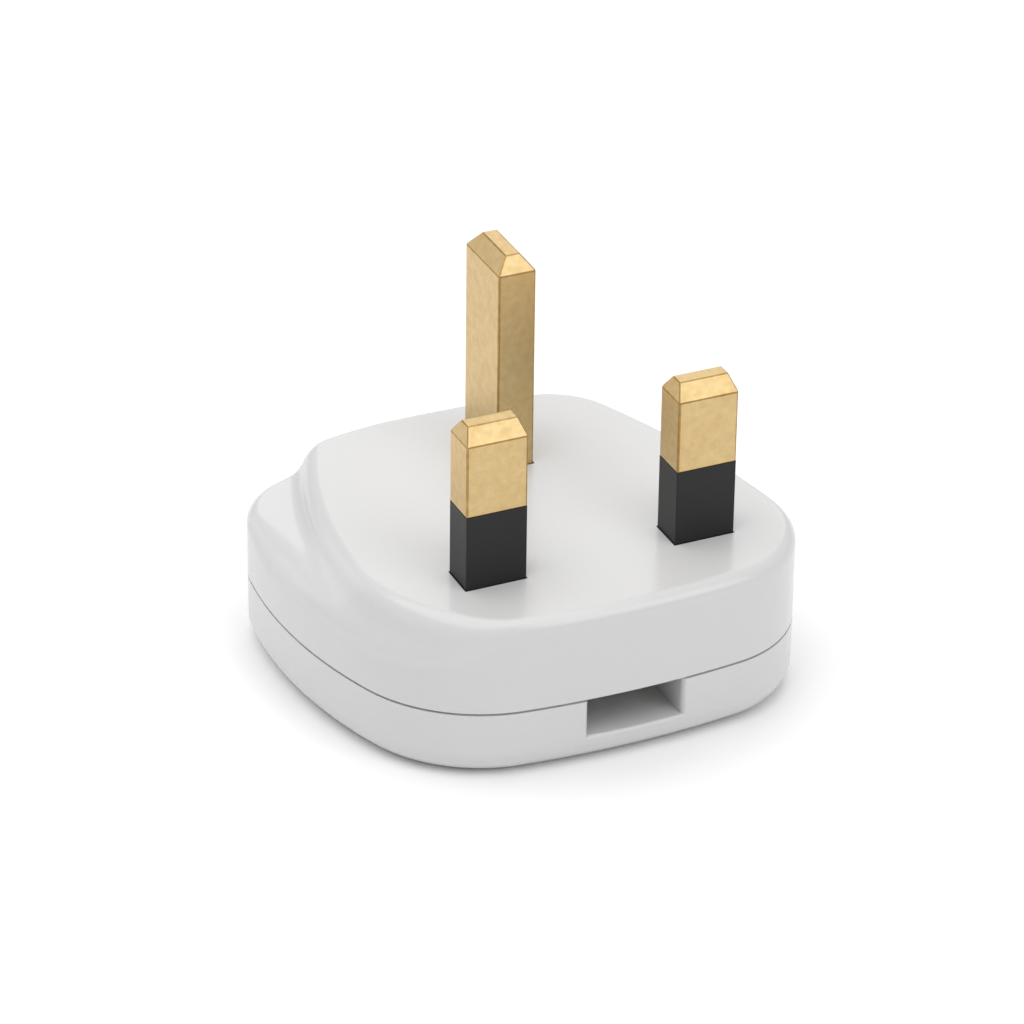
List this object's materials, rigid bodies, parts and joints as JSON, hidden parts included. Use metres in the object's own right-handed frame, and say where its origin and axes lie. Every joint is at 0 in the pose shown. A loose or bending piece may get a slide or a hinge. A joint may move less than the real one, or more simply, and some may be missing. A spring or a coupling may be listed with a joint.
{
  "type": "mains plug",
  "caption": "Rounded white mains plug lying on its cover: flat brass pins, sleeved line pins, a finger step on one side, a fuse inside and a cord entry in the edge.",
  "frame": {"origin": "on the cover's flat back, straight below the middle of the line between the live and neutral pins", "axes": "+X from the live pin to the neutral pin, +Y from the cord entry to the earth pin, +Z out of the pin face along the pins"},
  "size_m": [0.0485, 0.0435, 0.0402],
  "materials": {
    "body_plastic": "white moulded thermoset, gloss",
    "pin_brass": "satin, tumbled after stamping",
    "sleeve_plastic": "black nylon, matte",
    "screw_steel": "zinc plated",
    "insert_brass": "turned or stamped, bare",
    "clip_bronze": "spring strip, bare",
    "cap_nickel": "nickel plated, drawn",
    "fuse_ceramic": "unglazed ceramic",
    "fuse_wire": "tinned",
    "nylon": "natural nylon"
  },
  "bodies": {
    "root": {"base": "body_plastic", "cover": "body_plastic", "cover_screw": "screw_steel", "screw_retainer": "nylon", "threaded_insert": "insert_brass", "live_pin": "pin_brass", "live_sleeve": "sleeve_plastic", "neutral_pin": "pin_brass", "neutral_sleeve": "sleeve_plastic", "neutral_terminal_screw": "screw_steel", "earth_pin": "pin_brass", "earth_terminal_screw": "screw_steel", "live_terminal": "insert_brass", "live_terminal_screw": "screw_steel", "front_fuse_clip": "clip_bronze", "rear_fuse_clip": "clip_bronze", "fuse_tube": "fuse_ceramic", "fuse_front_cap": "cap_nickel", "fuse_rear_cap": "cap_nickel", "fuse_wire": "fuse_wire", "cord_grip_bar": "nylon", "cord_grip_screws": "screw_steel"}
  },
  "joints": []
}
